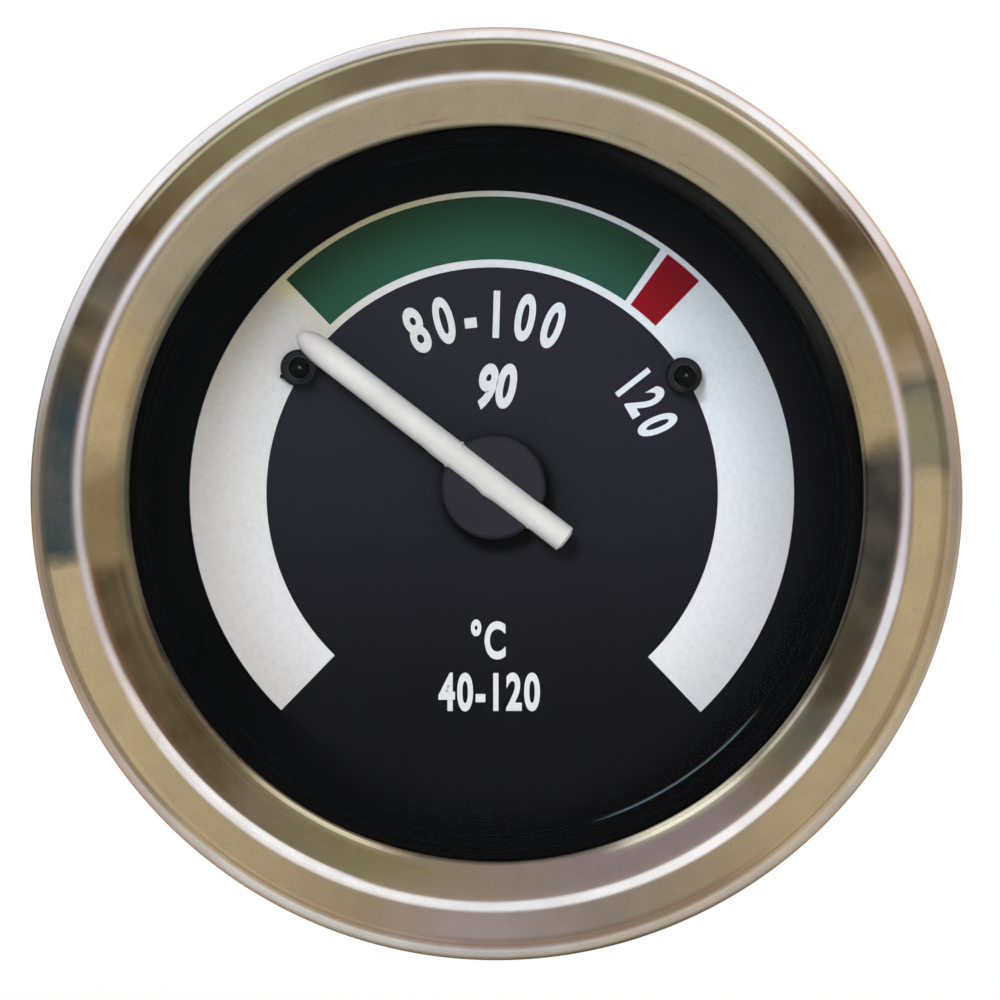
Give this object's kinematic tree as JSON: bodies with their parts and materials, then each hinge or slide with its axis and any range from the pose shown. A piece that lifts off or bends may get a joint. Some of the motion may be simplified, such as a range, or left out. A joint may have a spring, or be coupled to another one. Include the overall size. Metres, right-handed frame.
{
  "type": "engine temperature gauge",
  "caption": "Round panel gauge with a plated bezel, black dial with white, green and red scale zones, a white pointer on a spindle, and a rear clamp with thumb nuts.",
  "frame": {"origin": "centre of the bezel's rear seating face, on the barrel's axis, in the plane of the panel's front", "axes": "the dial faces -Y, +Y is the barrel's axis towards the terminals, +Z is twelve o'clock on the dial and +X is the reader's right"},
  "size_m": [0.06, 0.0556, 0.06],
  "materials": {
    "plated_bezel": "tarnished nickel plate over pressed steel",
    "rubber": "black, matt",
    "clear_glass": "clear",
    "black_plastic": "black, fine grain",
    "zinc_steel": "zinc plated, dull",
    "dial_black": "matt blue-black paint",
    "dial_white": "white screen print",
    "dial_green": "green screen print",
    "dial_red": "dark red screen print",
    "black_pin": "glossy black",
    "pointer_white": "moulded white plastic",
    "hub_black": "charcoal, rough grain",
    "spindle_steel": "ground",
    "magnet": "sintered, dark grey",
    "bobbin": "natural moulded plastic",
    "copper": "enamelled copper wire",
    "brass": "turned",
    "shield": "dull nickel iron",
    "board": "brown laminated board",
    "resistor": "grey-green enamel",
    "lead_wire": "tinned wire",
    "tinned_brass": "tinned brass",
    "plated_steel": "zinc plated",
    "spring_steel": "dark spring steel"
  },
  "bodies": {
    "housing": {"bezel": "plated_bezel", "lens_gasket": "rubber", "lens": "clear_glass", "inner_ring": "black_plastic", "case": "zinc_steel", "dial": "dial_black", "scale_band": "dial_white", "normal_zone": "dial_green", "stop_zone": "dial_red", "stop_pins": "black_pin", "stop_buffers": "rubber", "carrier_plate": "black_plastic", "bobbin_front": "bobbin", "bobbin_rear": "bobbin", "inner_coil": "copper", "outer_coil": "copper", "front_bearing": "brass", "rear_bearing": "brass", "return_magnet": "magnet", "shield_can": "shield", "base_plate": "board", "series_resistor": "resistor", "resistor_leads": "lead_wire", "stud_sleeves": "plated_steel", "fixing_studs": "plated_steel", "plain_washers": "plated_steel", "hexagon_nuts": "plated_steel", "terminal_board": "board", "board_rivets": "brass", "supply_blade": "tinned_brass", "sender_blade": "tinned_brass", "earth_blade": "tinned_brass"},
    "needle": {"pointer": "pointer_white", "pointer_hub": "hub_black", "spindle": "spindle_steel", "rotor_magnet": "magnet"},
    "clamp": {"clamp_bracket": "plated_steel", "spring_washers": "spring_steel"},
    "left_nut": {"thumb_nut_left": "brass"},
    "right_nut": {"thumb_nut_right": "brass"},
    "lamp": {"lamp_socket": "plated_steel", "lamp_insulator": "board", "lamp_contact": "tinned_brass", "bulb_cap": "brass", "bulb_glass": "clear_glass"}
  },
  "joints": [
    {"name": "pointer_turn", "type": "hinge", "parent": "housing", "child": "needle", "pos_m": [0, 0, 0.0004], "axis": [0, 1, 0], "range_deg": [0, 106], "stiffness_Nm_per_rad": 0.00002, "springref_deg": -20.05},
    {"name": "left_nut_turn", "type": "hinge", "parent": "clamp", "child": "left_nut", "pos_m": [-0.0145, 0.0444, 0], "axis": [0, 1, 0], "range_deg": [-978, 1543]},
    {"name": "right_nut_turn", "type": "hinge", "parent": "clamp", "child": "right_nut", "pos_m": [0.0145, 0.0444, 0], "axis": [0, 1, 0], "range_deg": [-978, 1543]},
    {"name": "clamp_travel", "type": "slide", "parent": "housing", "child": "clamp", "axis": [0, 1, 0], "range_m": [-0.0019, 0.003]},
    {"name": "lamp_pull", "type": "slide", "parent": "housing", "child": "lamp", "axis": [0, 1, 0], "range_m": [0, 0.012]}
  ],
  "couplings": [
    {"joint": "left_nut_turn", "follows": "clamp_travel", "rad_per_m": 8976},
    {"joint": "right_nut_turn", "follows": "clamp_travel", "rad_per_m": 8976}
  ]
}
